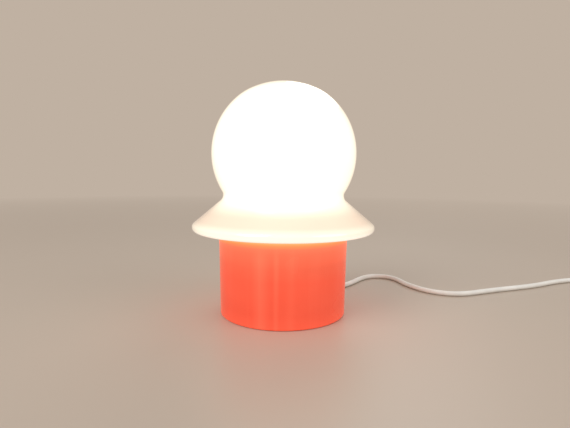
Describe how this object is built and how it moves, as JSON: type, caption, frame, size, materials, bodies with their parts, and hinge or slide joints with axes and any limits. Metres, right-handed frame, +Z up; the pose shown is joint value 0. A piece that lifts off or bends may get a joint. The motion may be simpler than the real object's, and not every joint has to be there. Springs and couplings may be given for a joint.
{
  "type": "mushroom table lamp",
  "caption": "Small mushroom table lamp: a lit opal glass dome with a flared brim on a translucent coral drum, with a corded in-line switch and a two-pin plug.",
  "frame": {"origin": "on the table, under the middle of the drum", "axes": "+Z up through the drum, bulb and shade; the lead leaves the back at 50 degrees from +X towards +Y; -Y is the side that faces the picture's camera"},
  "size_m": [0.603, 0.2272, 0.2179],
  "materials": {
    "coral_plastic": "translucent glossy moulded coral",
    "opal_glass": "glossy opal white, blown",
    "zinc_steel": "zinc-plated sheet",
    "screw_steel": "zinc-plated",
    "rubber": "soft pale rubber",
    "holder_plastic": "moulded heat-resistant",
    "ceramic": "glazed ceramic",
    "brass": "bright stamped sheet",
    "cord_rubber": "satin",
    "cord_vinyl": "satin cord sheath",
    "live_insulation": "wire insulation",
    "neutral_insulation": "wire insulation",
    "bulb_opal": "opal white, lit warm white",
    "black_glass": "fused black glass",
    "solder": "dull solder",
    "clear_glass": "clear",
    "filament_metal": "drawn wire",
    "tie_plastic": "moulded strap",
    "switch_plastic": "moulded, fine texture",
    "rocker_plastic": "polished",
    "plug_plastic": "moulded vinyl",
    "pin_metal": "nickel-plated",
    "pin_sleeve": "insulating sleeve"
  },
  "bodies": {
    "base": {"base_drum": "coral_plastic", "ballast_plate": "zinc_steel", "holder_bracket": "zinc_steel", "plate_screws": "screw_steel", "bracket_screws": "screw_steel", "stem_nut": "screw_steel", "stem_washer": "screw_steel", "terminal_screws": "screw_steel", "clamp_screws": "screw_steel", "switch_screws": "screw_steel", "rocker_pin": "screw_steel", "stem_tube": "screw_steel", "rubber_feet": "rubber", "holder_cap": "holder_plastic", "holder_shell": "holder_plastic", "cord_clamp": "holder_plastic", "holder_core": "ceramic", "thread_sleeve": "brass", "centre_contact": "brass", "switch_contacts": "brass", "cord_boot": "cord_rubber", "inner_cord": "cord_vinyl", "cord_lead": "cord_vinyl", "cord_link": "cord_vinyl", "cord_coil": "cord_vinyl", "cord_end": "cord_vinyl", "live_wire": "live_insulation", "neutral_wire": "neutral_insulation", "switch_wires": "neutral_insulation", "coil_tie": "tie_plastic", "switch_base": "switch_plastic", "switch_cover": "switch_plastic", "plug_body": "plug_plastic", "plug_pins": "pin_metal", "pin_sleeves": "pin_sleeve"},
    "shade": {"glass_shade": "opal_glass"},
    "bulb_foot": {"bulb_tip": "solder", "bulb_insulator": "black_glass"},
    "bulb": {"bulb_glass": "bulb_opal", "bulb_cap": "brass", "bulb_stem": "clear_glass", "bulb_leads": "filament_metal", "bulb_filament": "filament_metal"},
    "rocker": {"switch_rocker": "rocker_plastic", "switch_blade": "brass"}
  },
  "joints": [
    {"name": "shade_lift", "type": "slide", "parent": "base", "child": "shade", "axis": [0, 0, 1], "range_m": [0, 0.12]},
    {"name": "bulb_rise", "type": "slide", "parent": "base", "child": "bulb_foot", "axis": [0, 0, 1], "range_m": [0, 0.01976]},
    {"name": "bulb_turn", "type": "hinge", "parent": "bulb_foot", "child": "bulb", "pos_m": [0, 0, 0.066], "axis": [0, 0, 1], "range_deg": [0, 2520]},
    {"name": "rocker_tilt", "type": "hinge", "parent": "base", "child": "rocker", "pos_m": [0.414, 0.038, 0.0123], "axis": [1, 0, 0], "range_deg": [0, 18]}
  ],
  "couplings": [
    {"joint": "bulb_rise", "follows": "bulb_turn", "m_per_rad": 0.00044914}
  ]
}
